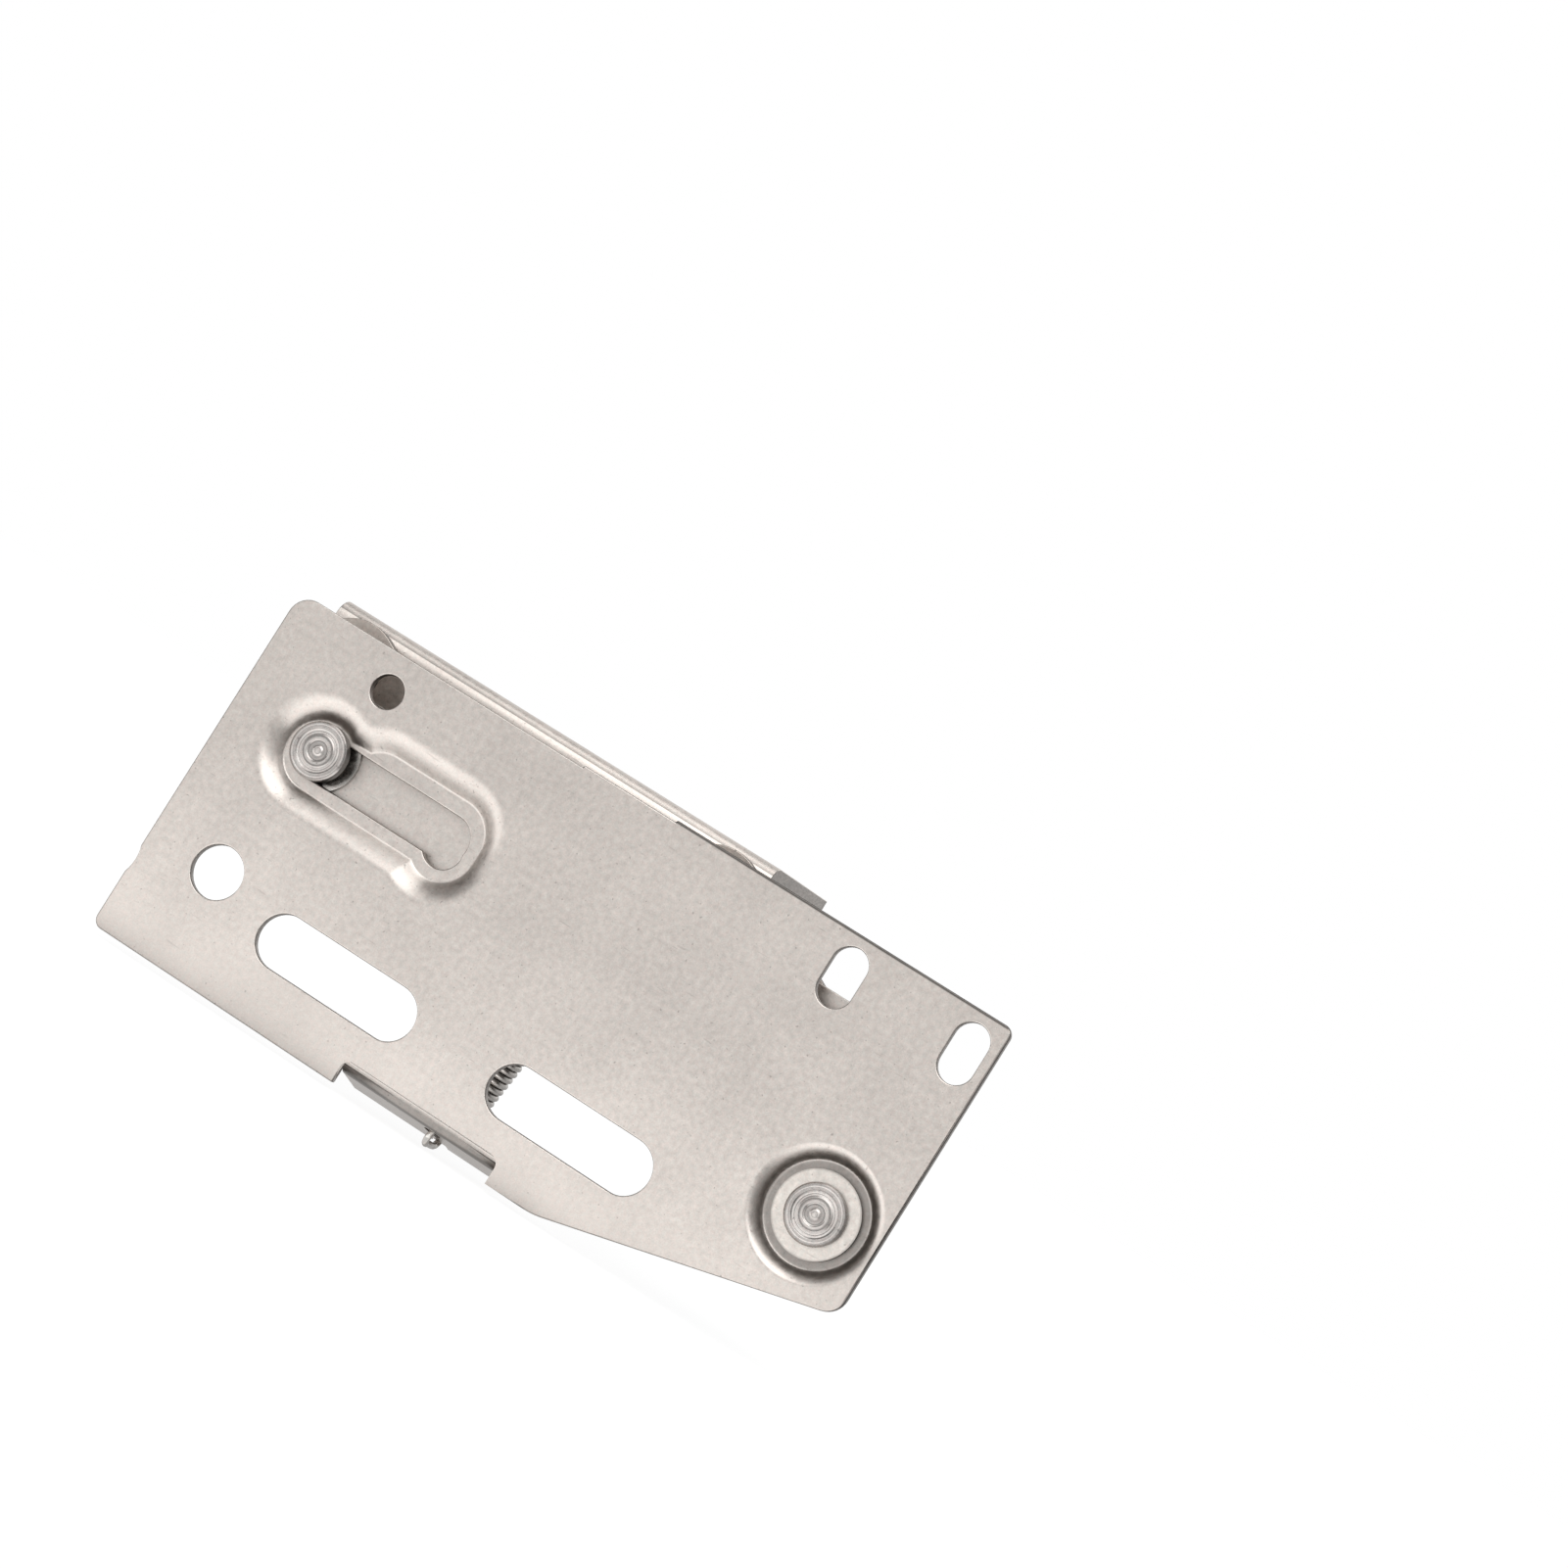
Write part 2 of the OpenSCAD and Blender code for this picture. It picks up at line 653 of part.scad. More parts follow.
module slide_pin() {
    seat_y = guide_depth - slide_clear;
    front_y = seat_y - slide_head_t;
    color(rivet_steel) turned(slide_pivot) polygon(concat(closed_head(slide_tail_r, link_back_y),
        [[slide_shank_r, link_back_y], [slide_shank_r, seat_y], [slide_head_r, seat_y],
            [slide_head_r, front_y + head_edge]], ringed(slide_head_r - head_edge, front_y, ring_depth)));
}

module ring(p, y, t, outer, inner) {
    turned(p) translate([inner, y]) square([outer - inner, t]);
}

module slide_pin_washer() {
    gap = 2 * running_gap;
    color(wire_steel) ring(slide_pivot, guide_back_y + gap, link_clear - gap, slide_washer_r,
        slide_shank_r + running_gap);
}

module pivot_bush() {
    floor_back_y = plate_t + pivot_depth;
    color(steel) turned(main_pivot) polygon([
        [bore_r, pivot_depth - bush_flange_t], [bush_flange_r, pivot_depth - bush_flange_t],
        [bush_flange_r, pivot_depth], [bush_neck_r, pivot_depth], [bush_neck_r, floor_back_y],
        [bush_collar_r, floor_back_y], [bush_collar_r, arm_y - running_gap], [bore_r, arm_y - running_gap]]);
}

module pivot_rivet() {
    color(rivet_steel) rivet(main_pivot, pivot_head_t, pivot_head_r, pivot_depth - bush_flange_t,
        arm_back_y + running_gap + pivot_washer_t);
}

module pivot_washer() {
    color(steel) ring(main_pivot, arm_back_y + running_gap, pivot_washer_t, pivot_washer_r, bore_r);
}

// The centre rivet is a stud set in the link's back, so that the link's front stays plain
module centre_rivet() {
    back_y = arm_back_y + running_gap;
    color(rivet_steel) turned(centre_pivot)
        polygon(concat(closed_head(head_r, back_y), [[shank_r, back_y], [shank_r, stud_y], [0, stud_y]]));
}

module centre_spacer() {
    color(steel) ring(centre_pivot, link_back_y, spacer_t - running_gap, spacer_r, bore_r);
}

module link_end_rivet() {
    color(rivet_steel) rivet(link_end_pivot, head_t, head_r, link_y, arm_back_y + running_gap);
}

module link_end_spacer() {
    color(steel) ring(link_end_pivot, link_back_y, spacer_t - running_gap, spacer_r, bore_r);
}

module long_arm_rivet() {
    color(rivet_steel) rivet(long_arm_lug, head_t, head_r, arm_y + head_recess, wall_back_y + running_gap);
}

module long_arm_washer() {
    color(wire_steel) ring(long_arm_lug, arm_back_y, washer_t - running_gap, washer_r, bore_r);
}

module short_arm_rivet() {
    color(rivet_steel) rivet(short_arm_lug, head_t, head_r, arm_y + head_recess, wall_back_y + running_gap);
}

module short_arm_washer() {
    color(wire_steel) ring(short_arm_lug, arm_back_y, washer_t - running_gap, washer_r, bore_r);
}

// Spring: its own frame starts at the tab's middle and rises to the long arm's notch
rings_per_turn = 8;
elbow_r = 2 * wire_r;
lead_y = (link_back_y + arm_y) / 2;
coil_y = lead_y - coil_offset;
tab_foot = on_tab(tab_bend_r + plate_t / 2, tab_hole_at);
tab_edge = on_tab(tab_bend_r + plate_t / 2, tab_length - tab_notch);
spring_foot = [hook_x, (tab_foot[1] + tab_edge[1]) / 2];
lead_phase = asin((lead_y - coil_y - elbow_r) / coil_r);
lead_s = coil_r * cos(lead_phase) - elbow_r * sin(lead_phase);
seat_line = hook_seat - spring_foot;
spring_lean = direction(seat_line) + asin(lead_s / norm(seat_line));
spring_up = [cos(spring_lean), sin(spring_lean)];
spring_side = [spring_up[1], -spring_up[0]];
function on_spring(s, y, a) =
    let (p = spring_foot + s * spring_side + a * spring_up) [p[0], y, p[1]];

// Lower hook, through the tab's hole, under the tab and up past its free edge, as points in that frame
foot_y = tab_foot[0];
edge_y = tab_edge[0] + hook_clear + wire_r;
coil_back_y = coil_y + coil_r;
under = -plate_t / 2 - wire_r - hook_clear;
lower_hook = [[0, foot_y, 1.6], [0, foot_y, 0.4], [0, foot_y + 0.1, -0.5], [0, foot_y + 0.6, under + 0.2],
    [0, foot_y + 1.4, under], [0, edge_y - 1.2, under - 0.4], [0, edge_y - 0.4, under - 0.2],
    [0, edge_y, -0.7], [0, edge_y, 0.5], [0, coil_back_y, 1.5]];

// Elbow from the lower leg into the first coil, then the coils
first_phase = 90 + asin(elbow_r / coil_r);
last_phase = 360 * (coil_turns + 1) + lead_phase;
coil_steps = round((last_phase - first_phase) / 360 * rings_per_turn);
coil_height = coil_pitch * (last_phase - first_phase) / 360;
lower_elbow = [for (i = [0:2])
    [elbow_r * (cos(i * 30) - 1), coil_back_y - 0.05 * i, coil_start + elbow_r * (sin(i * 30) - 1)]];
coils = [for (i = [0:coil_steps])
    let (phase = first_phase + (last_phase - first_phase) * i / coil_steps)
    [coil_r * cos(phase), coil_y + coil_r * sin(phase), coil_start + coil_height * i / coil_steps]];

// Elbow from the last coil into the straight lead, and the upper hook over the long arm's edge
coil_end = coils[coil_steps];
upper_elbow = [for (i = [1:3])
    coil_end + elbow_r * [-sin(lead_phase) * sin(i * 30), cos(lead_phase) * sin(i * 30), 1 - cos(i * 30)]];
seat_a = seat_line * spring_up;
hook_r = arm_t / 2 + hook_clear + 2 * wire_r;
hook_y = arm_y + arm_t / 2;
hook_top = seat_a + hook_clear + wire_r;
upper_hook = concat([[lead_s, lead_y, seat_a - hook_leg]],
    [for (i = [0:6]) [lead_s, hook_y - hook_r * cos(i * 30), hook_top - hook_r * (1 - sin(i * 30))]],
    [[lead_s, hook_y + hook_r, seat_a - hook_leg]]);

spring_path = [for (p = concat(lower_hook, lower_elbow, coils, upper_elbow, upper_hook))
    on_spring(p[0], p[1], p[2])];

// Least gap between stretches of the wire that lie over half a turn apart
function near(i) =
    min([for (j = [i + rings_per_turn / 2:len(spring_path) - 1]) norm(spring_path[j] - spring_path[i])]);
spring_gap = min([for (i = [0:len(spring_path) - rings_per_turn]) near(i)]) - 2 * wire_r;

// A tube of six sides along a path, its rings carried on without twist
module tube(path, r) {
    sides = 6;
    last = len(path) - 1;
    tangent = [for (i = [0:last]) unit(path[min(i + 1, last)] - path[max(i - 1, 0)])];
    start = unit(cross(tangent[0], [1, 0.1, 0]));
    normal = [for (i = 0, n = start; i <= last;
        i = i + 1, n = i > last ? n : unit(n - (n * tangent[i]) * tangent[i])) n];
    points = [for (i = [0:last], k = [0:sides - 1])
        let (other = cross(tangent[i], normal[i]))
        path[i] + r * (cos(360 * k / sides) * normal[i] + sin(360 * k / sides) * other)];
    quads = [for (i = [0:last - 1], k = [0:sides - 1])
        let (a = i * sides + k, b = i * sides + (k + 1) % sides)
        each [[a, a + sides, b], [b, a + sides, b + sides]]];
    caps = [for (k = [1:sides - 2])
        each [[0, k, k + 1], [last * sides, last * sides + k + 1, last * sides + k]]];
    polyhedron(points, concat(quads, caps));
}

module tension_spring() {
    echo(spring_least_gap = spring_gap);
    color(wire_steel) tube(spring_path, wire_r);
}

mounting_plate();
door_bracket();
long_arm();
slide_link();
short_arm();
slide_pin();
slide_pin_washer();
pivot_bush();
pivot_rivet();
pivot_washer();
centre_rivet();
centre_spacer();
link_end_rivet();
link_end_spacer();
long_arm_rivet();
long_arm_washer();
short_arm_rivet();
short_arm_washer();
tension_spring();
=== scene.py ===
"""Flip-up door hinge: camera, light, finishes and the close-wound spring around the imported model."""

import math

import bpy
from mathutils import Matrix, Vector


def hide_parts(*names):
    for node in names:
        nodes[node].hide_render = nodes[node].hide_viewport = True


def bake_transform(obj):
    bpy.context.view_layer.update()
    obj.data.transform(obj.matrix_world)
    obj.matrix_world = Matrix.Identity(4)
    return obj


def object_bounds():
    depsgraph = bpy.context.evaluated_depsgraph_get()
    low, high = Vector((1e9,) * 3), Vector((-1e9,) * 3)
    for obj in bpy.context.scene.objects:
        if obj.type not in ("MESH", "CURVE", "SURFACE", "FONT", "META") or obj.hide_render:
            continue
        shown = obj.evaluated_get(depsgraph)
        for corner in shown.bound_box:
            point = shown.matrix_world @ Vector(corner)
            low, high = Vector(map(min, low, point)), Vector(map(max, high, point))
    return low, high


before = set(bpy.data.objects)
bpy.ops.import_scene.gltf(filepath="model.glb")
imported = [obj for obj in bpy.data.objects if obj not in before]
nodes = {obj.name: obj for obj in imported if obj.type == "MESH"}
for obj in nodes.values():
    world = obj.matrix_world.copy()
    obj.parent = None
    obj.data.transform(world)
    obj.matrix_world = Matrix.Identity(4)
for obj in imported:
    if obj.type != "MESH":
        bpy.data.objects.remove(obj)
cad_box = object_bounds()
MM = 0.001

# What the metal mirrors, where white is 1: grey surroundings, the floor's painted glow and painted shadow
SIDE_GREY = 0.34  # the surroundings to the sides and overhead
FLOOR_FAR_GLOW = 1.25  # the floor far in front
FLOOR_NEAR_GLOW = 2.0  # the floor close in front
FLOOR_FOOT_SHADOW = 0.75  # the floor at the hinge's foot
FLOOR_RIGHT_SHADE = 0.25  # share of all this that is left at the right

FLOOR_HALF = 1.5  # half the floor's side, in metres


def add_object(name, data):
    obj = bpy.data.objects.new(name, data)
    bpy.context.scene.collection.objects.link(obj)
    return obj


def make_camera():
    """Its place and axes are solved from the fixing slots and holes in the photograph."""
    data = bpy.data.cameras.new("camera")
    data.sensor_width = 36
    data.lens = 95.16
    data.clip_start = 0.01
    data.clip_end = 20
    obj = add_object("camera", data)
    right, up, back = (0.8206, 0.2120, 0.5308), (-0.5050, -0.1660, 0.8470), (0.2677, -0.9631, -0.0292)
    obj.rotation_mode = "QUATERNION"
    obj.rotation_quaternion = Matrix((right, up, back)).transposed().to_quaternion()
    obj.location = (0.1368, -0.4350, 0.0311)
    bpy.context.scene.camera = obj


def make_lamp(name, place, target, size, radiance):
    """A square soft box whose face has that radiance, where the white surroundings have 1."""
    data = bpy.data.lights.new(name, "AREA")
    data.shape = "SQUARE"
    data.size = size
    data.energy = radiance * math.pi * size * size
    obj = add_object(name, data)
    obj.location = place
    obj.rotation_mode = "QUATERNION"
    obj.rotation_quaternion = (Vector(target) - Vector(place)).to_track_quat("-Z", "Y")


class Tree:
    """A node tree that is written from its nodes' inputs."""

    def __init__(self, owner):
        if isinstance(owner, bpy.types.NodeTree):
            self.tree = owner
        else:
            owner.use_nodes = True
            self.tree = owner.node_tree
        self.tree.nodes.clear()

    def add(self, kind, inputs=None, **settings):
        node = self.tree.nodes.new(kind)
        for key, value in settings.items():
            setattr(node, key, value)
        for key, value in (inputs or {}).items():
            self.put(node.inputs[key], value)
        return node

    def put(self, socket, value):
        if isinstance(value, bpy.types.NodeSocket):
            self.tree.links.new(value, socket)
        else:
            socket.default_value = value

    def math(self, operation, a, b=0.0, c=0.0):
        node = self.add("ShaderNodeMath", operation=operation)
        for i, value in enumerate((a, b, c)):
            self.put(node.inputs[i], value)
        return node.outputs[0]

    def times(self, first, *others):
        for value in others:
            first = self.math("MULTIPLY", first, value)
        return first

    def split(self, vector):
        return self.add("ShaderNodeSeparateXYZ", {0: vector}).outputs

    def remap(self, value, low, high, to_low, to_high):
        node = self.add("ShaderNodeMapRange", {
            "Value": value, "From Min": low, "From Max": high, "To Min": to_low, "To Max": to_high})
        return node.outputs["Result"]

    def mix(self, factor, a, b, blend="MIX"):
        node = self.add("ShaderNodeMix", data_type="RGBA", blend_type=blend)
        self.put(node.inputs["Factor"], factor)
        for socket, value in ((node.inputs[6], a), (node.inputs[7], b)):
            self.put(socket, value if isinstance(value, bpy.types.NodeSocket) else (*value, 1.0))
        return node.outputs[2]

    def mirrored(self, path):
        """1 for the rays that show a surface what stands round it."""
        return self.math("MAXIMUM", path["Is Glossy Ray"], path["Is Transmission Ray"])

    def noise(self, vector, scale, detail=2.0, roughness=0.5):
        node = self.add("ShaderNodeTexNoise", {
            "Vector": vector, "Scale": scale, "Detail": detail, "Roughness": roughness})
        return node.outputs["Fac"]


def make_world():
    """White to the camera. The metal mirrors it white in front and behind, and grey to the sides and overhead."""
    world = bpy.data.worlds.new("studio")
    bpy.context.scene.world = world
    t = Tree(world)
    path = t.add("ShaderNodeLightPath").outputs
    depth = t.split(t.add("ShaderNodeTexCoord").outputs["Generated"])["Y"]
    level = t.math("MAXIMUM", t.remap(depth, -0.70, -0.25, 1.0, SIDE_GREY), t.remap(depth, 0.2, 0.6, SIDE_GREY, 1.0))
    soft = t.add("ShaderNodeBackground", {"Color": (0.96, 0.98, 1.0, 1), "Strength": 0.6})
    white = t.add("ShaderNodeBackground", {"Color": (1, 1, 1, 1), "Strength": 1.0})
    studio = t.add("ShaderNodeBackground", {"Color": (1, 1, 1, 1), "Strength": level})
    both = t.add("ShaderNodeMixShader", {0: t.mirrored(path), 1: soft.outputs[0], 2: studio.outputs[0]})
    both = t.add("ShaderNodeMixShader", {0: path["Is Camera Ray"], 1: both.outputs[0], 2: white.outputs[0]})
    t.add("ShaderNodeOutputWorld", {"Surface": both.outputs[0]})


def make_floor(z):
    """White table. Reflections see it glow: a painted glow in front, a painted shadow at the hinge's foot and
    painted shade to the right.
    """
    material = bpy.data.materials.new("studio_floor")
    t = Tree(material)
    place = t.split(t.add("ShaderNodeTexCoord").outputs["Object"])
    # Only reflections see this: the floor glows brighter than white in front, with a painted shadow at the hinge's
    # foot and painted shade to the right
    level = t.math("MINIMUM", t.remap(place["Y"], -0.11, -0.06, FLOOR_FAR_GLOW, FLOOR_NEAR_GLOW),
                   t.remap(place["Y"], -0.014, -0.003, FLOOR_NEAR_GLOW, FLOOR_FOOT_SHADOW))
    level = t.times(level, t.remap(place["X"], 0.05, 0.09, 1.0, FLOOR_RIGHT_SHADE))
    level = t.math("MAXIMUM", level, t.remap(place["Y"], 0.03, 0.12, 0.0, 1.0))
    path = t.add("ShaderNodeLightPath").outputs
    pale = t.add("ShaderNodeBsdfDiffuse", {"Color": (0.86, 0.86, 0.85, 1)})
    glow = t.add("ShaderNodeEmission", {"Color": (1, 1, 1, 1), "Strength": 1.12})
    shown = t.add("ShaderNodeEmission", {"Color": (1, 1, 1, 1), "Strength": level})
    both = t.add("ShaderNodeMixShader", {
        0: t.times(path["Is Camera Ray"], 0.8), 1: pale.outputs[0], 2: glow.outputs[0]})
    both = t.add("ShaderNodeMixShader", {0: t.mirrored(path), 1: both.outputs[0], 2: shown.outputs[0]})
    t.add("ShaderNodeOutputMaterial", {"Surface": both.outputs[0]})
    r = FLOOR_HALF
    mesh = bpy.data.meshes.new("floor")
    mesh.from_pydata([(-r, -r, z), (r, -r, z), (r, r, z), (-r, r, z)], [], [(0, 1, 2, 3)])
    mesh.materials.append(material)
    add_object("floor", mesh)


def steel(name, shade, rough=0.36, speck=0.5, cloud=0.06, grain=0.09, folded=None, spun=None, groove_shade=None,
          edge_shade=None):
    """Satin nickel-plated steel: cloudy tone, fine speckle, dark specks and hairs, granular sheared edges.

    folded is where the sheet lies flat instead of upright: lowest Y, lowest Z and highest Z in mm.
    spun is the radius of a head that shows turning rings, in metres.
    The ring round a pivot is painted shade, for the bush edge's shadow in the dish: centre X and Z, inner and outer
    radius in mm.
    The edge line is painted shade, dark on the front face along its outline: lowest X, highest X and highest Z in
    mm.
    """
    material = bpy.data.materials.new(name)
    t = Tree(material)
    coords = t.add("ShaderNodeTexCoord").outputs
    place = coords["Object"]
    spot = t.split(place)

    clouds = t.remap(t.noise(place, 90, 3), 0.3, 0.7, 1 - cloud, 1 + cloud)
    fine = t.noise(place, 5200, 2, 0.7)
    mottle = t.noise(place, 1400, 3, 0.6)
    tone = t.times(clouds, t.remap(fine, 0.25, 0.75, 1 - grain, 1 + grain),
                   t.remap(mottle, 0.3, 0.7, 1 - grain, 1 + grain))
    tint = t.mix(t.remap(t.noise(place, 2100, 2, 0.6), 0.35, 0.65, 0.0, 1.0),
                 (1.02, 0.99, 0.985), (0.985, 1.01, 1.01))

    specks = t.remap(t.noise(place, 2300, 1, 0.5), 0.70, 0.76, 0.0, speck)
    turned = t.add("ShaderNodeMapping", {0: place, "Rotation": (0, 0.9, 0), "Scale": (0.12, 1, 1)}).outputs[0]
    hairs = t.remap(t.noise(turned, 2600, 1, 0.5), 0.72, 0.77, 0.0, 0.45 * speck)
    specks = t.math("MAXIMUM", specks, hairs)

    # Sheared edges, where the surface doesn't face along the sheet's thickness
    facing = t.split(coords["Normal"])
    across = t.math("ABSOLUTE", facing["Y"])
    if folded is not None:
        low_y, low_z, high_z = (v * MM for v in folded)
        within = t.times(t.math("GREATER_THAN", spot["Z"], low_z), t.math("LESS_THAN", spot["Z"], high_z),
                         t.math("GREATER_THAN", spot["Y"], low_y))
        across = t.math("ADD", t.times(within, t.math("ABSOLUTE", facing["Z"])),
                        t.times(t.math("SUBTRACT", 1.0, within), across))
    edge = t.remap(across, 0.2, 0.35, 1.0, 0.0)
    torn = t.noise(t.add("ShaderNodeMapping", {0: place, "Scale": (1, 0.3, 1)}).outputs[0], 3600, 3, 0.8)
    sheared = t.times(edge, t.remap(torn, 0.3, 0.72, -0.30, 0.30))
    # Surfaces turned away from the sheet's face, the sheared edges and their bevels, are darkened to about half:
    # painted shade
    tone = t.times(tone, t.math("ADD", 1.0, sheared), t.remap(across, 0.50, 0.66, 0.48, 1.0))

    roughness = t.math("ADD", t.remap(mottle, 0.3, 0.7, rough - 0.05, rough + 0.06), t.times(edge, 0.10))
    height = t.math("ADD", t.times(fine, 0.35), t.times(mottle, 0.65))
    height = t.math("ADD", height, t.times(edge, torn, 1.2))

    if spun is not None:
        local = t.add("ShaderNodeVectorMath", {0: coords["Generated"], 1: (0.5, 0.5, 0.5)},
                      operation="SUBTRACT").outputs[0]
        flat_way = t.add("ShaderNodeVectorMath", {0: local, 1: (2 * spun, 0, 2 * spun)},
                         operation="MULTIPLY").outputs[0]
        away = t.add("ShaderNodeVectorMath", {0: flat_way}, operation="LENGTH").outputs["Value"]
        rings = t.add("ShaderNodeTexNoise", {"W": away, "Scale": 3200, "Detail": 2},
                      noise_dimensions="1D").outputs["Fac"]
        on_face = t.remap(across, 0.6, 0.8, 0.0, 1.0)
        rings = t.times(on_face, t.remap(rings, 0.36, 0.64, -0.5, 0.5))
        tone = t.times(tone, t.math("ADD", 1.0, t.times(rings, 0.9)))
        height = t.math("ADD", height, t.times(rings, 2.2))

    # A ring of painted shade round a pivot, taking away up to half the tone, for the shadow round the bush's edge
    if groove_shade is not None:
        x, z, start, end = groove_shade
        away = t.math("SQRT", t.math("ADD", t.math("POWER", t.math("SUBTRACT", spot["X"], x * MM), 2.0),
                                     t.math("POWER", t.math("SUBTRACT", spot["Z"], z * MM), 2.0)))
        painted_shade = t.times(t.remap(away, start * MM, (start + 0.3) * MM, 0.0, 0.5),
                         t.remap(away, end * MM, (end + 0.5) * MM, 1.0, 0.0))
        tone = t.times(tone, t.math("SUBTRACT", 1.0, painted_shade))

    # Painted shade: a dark line on the front face along its top, left and right edges
    if edge_shade is not None:
        low_x, high_x, high_z = edge_shade
        line = t.math("MAXIMUM", t.remap(spot["X"], (high_x - 0.3) * MM, (high_x - 0.15) * MM, 0.0, 0.7),
                      t.remap(spot["X"], (low_x + 0.2) * MM, (low_x + 0.1) * MM, 0.0, 0.6))
        line = t.math("MAXIMUM", line, t.remap(spot["Z"], (high_z - 0.4) * MM, (high_z - 0.25) * MM, 0.0, 1.0))
        line = t.times(line, t.remap(spot["Y"], 0.15 * MM, 0.3 * MM, 1.0, 0.0))
        tone = t.times(tone, t.remap(line, 0.0, 1.0, 1.0, 0.22))

    colour = t.mix(1.0, shade, t.add("ShaderNodeCombineColor", {0: tone, 1: tone, 2: tone}).outputs[0], "MULTIPLY")
    colour = t.mix(1.0, colour, tint, "MULTIPLY")
    colour = t.mix(specks, colour, [0.35 * c for c in shade])
    bump = t.add("ShaderNodeBump", {"Strength": 0.35, "Distance": 0.00004, "Height": height})
    shader = t.add("ShaderNodeBsdfPrincipled", {
        "Base Color": colour, "Metallic": 1.0, "Roughness": roughness, "Normal": bump.outputs[0]})
    t.add("ShaderNodeOutputMaterial", {"Surface": shader.outputs[0]})
    return material


def finish_with(material, *names):
    for name in names:
        for slot in nodes[name].material_slots:
            slot.material = material


def sharp_edges(name, plain):
    """A modifier's tree that gives each sharp edge a bevel weight, except inside plain.

    plain is lowest X, highest X and highest Z in mm.
    """
    group = bpy.data.node_groups.new(name, "GeometryNodeTree")
    for way in ("INPUT", "OUTPUT"):
        group.interface.new_socket("Geometry", in_out=way, socket_type="NodeSocketGeometry")
    t = Tree(group)
    turn = t.add("GeometryNodeInputMeshEdgeAngle").outputs["Unsigned Angle"]
    place = t.split(t.add("GeometryNodeInputPosition").outputs[0])
    low_x, high_x, high_z = (v * MM for v in plain)
    inside = t.times(t.math("GREATER_THAN", place["X"], low_x), t.math("LESS_THAN", place["X"], high_x),
                     t.math("LESS_THAN", place["Z"], high_z))
    weight = t.times(t.math("GREATER_THAN", turn, math.radians(40)), t.math("SUBTRACT", 1.0, inside))
    store = t.add("GeometryNodeStoreNamedAttribute", {
        "Geometry": t.add("NodeGroupInput").outputs[0], "Name": "bevel_weight_edge", "Value": weight},
        data_type="FLOAT", domain="EDGE")
    t.add("NodeGroupOutput", {0: store.outputs[0]})
    return group


def soften(name, width=0.12, plain=(0, 0, 0)):
    """Breaks the edges of a stamped piece, which catch the light. width is in mm, plain as in sharp_edges."""
    obj = nodes[name]
    weld = obj.modifiers.new("weld", "WELD")
    weld.merge_threshold = 0.000002
    flat = obj.modifiers.new("flat", "DECIMATE")
    flat.decimate_type = "DISSOLVE"
    flat.angle_limit = math.radians(0.3)
    obj.modifiers.new("weights", "NODES").node_group = sharp_edges(name + "_edges", plain)
    bevel = obj.modifiers.new("bevel", "BEVEL")
    bevel.limit_method = "WEIGHT"
    bevel.width = width * MM
    bevel.segments = 2
    bevel.use_clamp_overlap = False
    even = obj.modifiers.new("even", "WEIGHTED_NORMAL")
    even.keep_sharp = False
    even.weight = 80


def smooth_path(points, steps=5):
    """A Catmull-Rom curve through points."""
    out = []
    for i in range(len(points) - 1):
        a, b = points[max(i - 1, 0)], points[i]
        c, d = points[i + 1], points[min(i + 2, len(points) - 1)]
        for k in range(steps):
            u = k / steps
            out.append(0.5 * (2 * b + (c - a) * u + (2 * a - 5 * b + 4 * c - d) * u * u
                              + (3 * b - a - 3 * c + d) * u ** 3))
    return out + [points[-1]]


def tube(name, path, radius, sides=12):
    """A round wire along path, whose rings are carried on without twist."""
    last = len(path) - 1
    tangents = [(path[min(i + 1, last)] - path[max(i - 1, 0)]).normalized() for i in range(last + 1)]
    normal = tangents[0].cross(Vector((1, 0.1, 0))).normalized()
    verts = []
    for point, tangent in zip(path, tangents):
        normal = (normal - normal.dot(tangent) * tangent).normalized()
        other = tangent.cross(normal)
        for k in range(sides):
            turn = 2 * math.pi * k / sides
            verts.append((point + radius * (math.cos(turn) * normal + math.sin(turn) * other)) * MM)
    faces = [(i * sides + k, i * sides + (k + 1) % sides, (i + 1) * sides + (k + 1) % sides, (i + 1) * sides + k)
             for i in range(last) for k in range(sides)]
    faces.append(tuple(reversed(range(sides))))
    faces.append(tuple(last * sides + k for k in range(sides)))
    mesh = bpy.data.meshes.new(name)
    mesh.from_pydata(verts, [], faces)
    for poly in mesh.polygons:
        poly.use_smooth = len(poly.vertices) == 4
    return add_object(name, mesh)


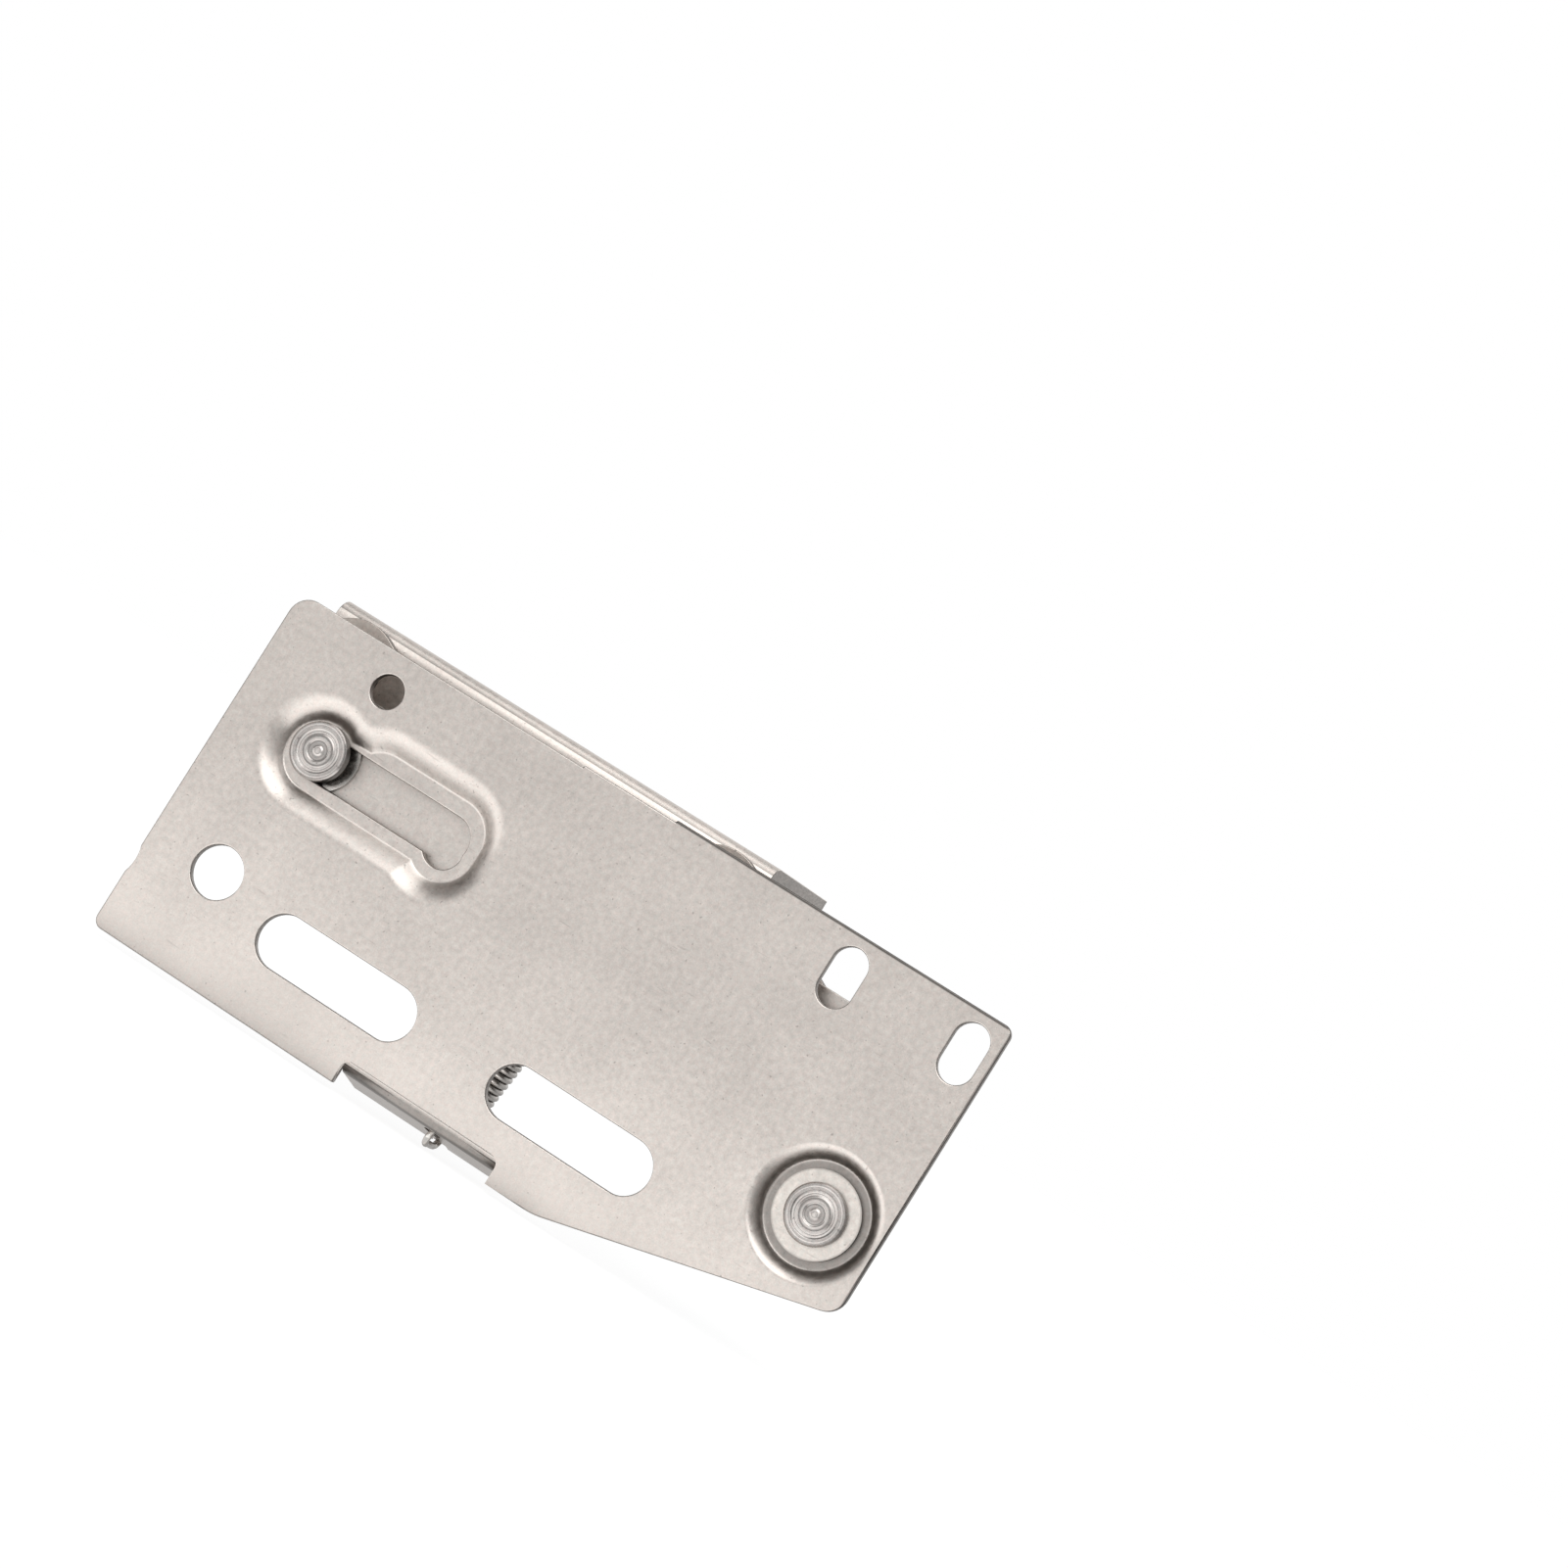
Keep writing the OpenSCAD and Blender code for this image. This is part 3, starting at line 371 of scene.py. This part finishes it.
def make_spring(material):
    """Extension spring from the plate's tab to the notch in the long arm, on the part's own route.

    It is wound as close as the real one.
    """
    wire_r, coil_r, coil_start, coil_height = 0.4, 2.65, 3.0, 14.66
    turns, per_turn, elbow_r, hook_leg, clear = 17, 20, 0.8, 3.0, 0.3
    plate_t, arm_t, tab_angle = 1.2, 1.5, math.radians(78)
    lead_y, coil_y, arm_y = 5.9, 4.6, 7.0

    # Where the lower hook sits: the tab in the Y-Z plane, from its bend past its hole to its edge
    along, into = (math.sin(tab_angle), -math.cos(tab_angle)), (math.cos(tab_angle), math.sin(tab_angle))
    bend, bend_r, hole_along, edge_along, tab_x = (1.6, -6.8), 0.4, 1.6, 5.2, 2.2
    middle = bend_r + plate_t / 2
    hole = [bend[i] + hole_along * along[i] - middle * into[i] for i in (0, 1)]
    edge = [bend[i] + edge_along * along[i] - middle * into[i] for i in (0, 1)]
    foot = Vector((tab_x, (hole[1] + edge[1]) / 2))

    # Where the upper hook sits: the notch in the arm's edge, in the X-Z plane
    pivot, centre = Vector((44.1, 6.8)), Vector((-14.4, 18.9))
    notch_along, arm_half, notch_depth = 38, 4.7, 0.7
    line = (centre - pivot).normalized()
    seat = pivot + notch_along * line + (arm_half - notch_depth) * Vector((line.y, -line.x))

    # The coil's axis, which leans so that the wire's way out of the coil ends over the notch
    lead_phase = math.asin((lead_y - coil_y - elbow_r) / coil_r)
    lead_s = coil_r * math.cos(lead_phase) - elbow_r * math.sin(lead_phase)
    reach = seat - foot
    lean = math.atan2(reach.y, reach.x) + math.asin(lead_s / reach.length)
    up = Vector((math.cos(lean), math.sin(lean)))
    side = Vector((up.y, -up.x))
    seat_a = reach.dot(up)

    foot_y, edge_y, back_y = hole[0], edge[0] + clear + wire_r, coil_y + coil_r
    under = -plate_t / 2 - wire_r - clear
    lower = smooth_path([Vector(p) for p in (
        (0, foot_y, 1.6), (0, foot_y, 0.6), (0, foot_y - 0.2, -0.3), (0, foot_y - 0.3, -1.0),
        (0, foot_y + 0.3, under - 0.3), (0, foot_y + 1.3, under - 0.3), (0, edge_y - 1.2, under - 0.4),
        (0, edge_y - 0.4, under - 0.2), (0, edge_y, -0.7), (0, edge_y, 0.5), (0, back_y, 1.5))])
    first = math.pi / 2 + math.asin(elbow_r / coil_r)
    final = 2 * math.pi * (turns + 1) + lead_phase
    elbow = [Vector((elbow_r * (math.cos(a) - 1), back_y - 0.05 * a, coil_start + elbow_r * (math.sin(a) - 1)))
             for a in (math.radians(12 * i) for i in range(7))]
    count = round((final - first) / (2 * math.pi) * per_turn)
    coils = []
    for i in range(count + 1):
        phase = first + (final - first) * i / count
        coils.append(Vector((coil_r * math.cos(phase), coil_y + coil_r * math.sin(phase),
                             coil_start + coil_height * i / count)))
    lead = [coils[-1] + elbow_r * Vector((-math.sin(lead_phase) * math.sin(a), math.cos(lead_phase) * math.sin(a),
                                          1 - math.cos(a))) for a in (math.radians(15 * i) for i in range(1, 7))]
    hook_r, hook_y, hook_top = arm_t / 2 + clear + 2 * wire_r, arm_y + arm_t / 2, seat_a + clear + wire_r
    upper = [Vector((lead_s, lead_y, seat_a - hook_leg))]
    for a in (math.radians(12 * i) for i in range(16)):
        upper.append(Vector((lead_s, hook_y - hook_r * math.cos(a), hook_top - hook_r * (1 - math.sin(a)))))
    upper.append(Vector((lead_s, hook_y + hook_r, seat_a - hook_leg)))

    def placed(p):
        spot = foot + p.x * side + p.z * up
        return Vector((spot.x, p.y, spot.y))

    obj = tube("wound_spring", [placed(p) for p in lower + elbow + coils + lead + upper], wire_r)
    obj.data.materials.append(material)
    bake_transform(obj)
    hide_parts("tension_spring")


bpy.context.scene.view_settings.view_transform = "Standard"
make_camera()
make_world()
make_lamp("top", (0.06, -0.60, 0.66), (0, 0, 0.01), 0.80, 2.0)
make_lamp("overhead", (-0.12, -0.08, 0.90), (0, 0, 0.01), 0.50, 1.5)
make_lamp("back", (0.20, 0.80, 0.50), (0, 0, 0.01), 0.50, 0.6)
make_floor(cad_box[0].z - 0.0002)

PLATE = (0.53, 0.488, 0.455)
TURNED = (0.40, 0.375, 0.358)
# Painted shade in a ring round the main pivot, on the plate's dish and on the bush
PIVOT_GROOVE_SHADE = (44.1, 6.8, 4.75, 5.7)  # round the main pivot
# The plate's finish carries painted shade round the pivot and along its front edges
finish_with(steel("plate_satin", PLATE, folded=(1.5, -20, -6.3), groove_shade=PIVOT_GROOVE_SHADE, edge_shade=(-44, 52, 34.8)),
            "mounting_plate")
finish_with(steel("link_satin", PLATE, cloud=0.04), "slide_link")
finish_with(steel("bush_satin", (0.60, 0.56, 0.52), rough=0.34, groove_shade=PIVOT_GROOVE_SHADE), "pivot_bush")
finish_with(steel("small_satin", (0.60, 0.56, 0.53), rough=0.30), "pivot_washer", "centre_spacer",
            "link_end_spacer")
finish_with(steel("washer_bright", (0.62, 0.60, 0.57), rough=0.22, speck=0.2), "slide_pin_washer",
            "long_arm_washer", "short_arm_washer")
finish_with(steel("bracket_satin", (0.60, 0.55, 0.51), folded=(-1, 35.2, 50)), "door_bracket")
# The arms are the plate's steel in a darker shade: painted shade, for where they lie behind the plate
finish_with(steel("arm_satin", (0.42, 0.375, 0.34), rough=0.42, speck=0.7, grain=0.11), "long_arm", "short_arm")
for pin, r in (("slide_pin", 3.4), ("pivot_rivet", 4.0), ("long_arm_rivet", 4.0), ("short_arm_rivet", 4.0),
               ("link_end_rivet", 4.0), ("centre_rivet", 4.0)):
    finish_with(steel(pin + "_turned", TURNED, rough=0.28, spun=r * MM), pin)
make_spring(steel("wire_bright", (0.80, 0.76, 0.72), rough=0.25, speck=0.1))

soften("mounting_plate", 0.18, plain=(-12, 14, -6))
for name in ("door_bracket", "long_arm", "short_arm", "slide_link"):
    soften(name)
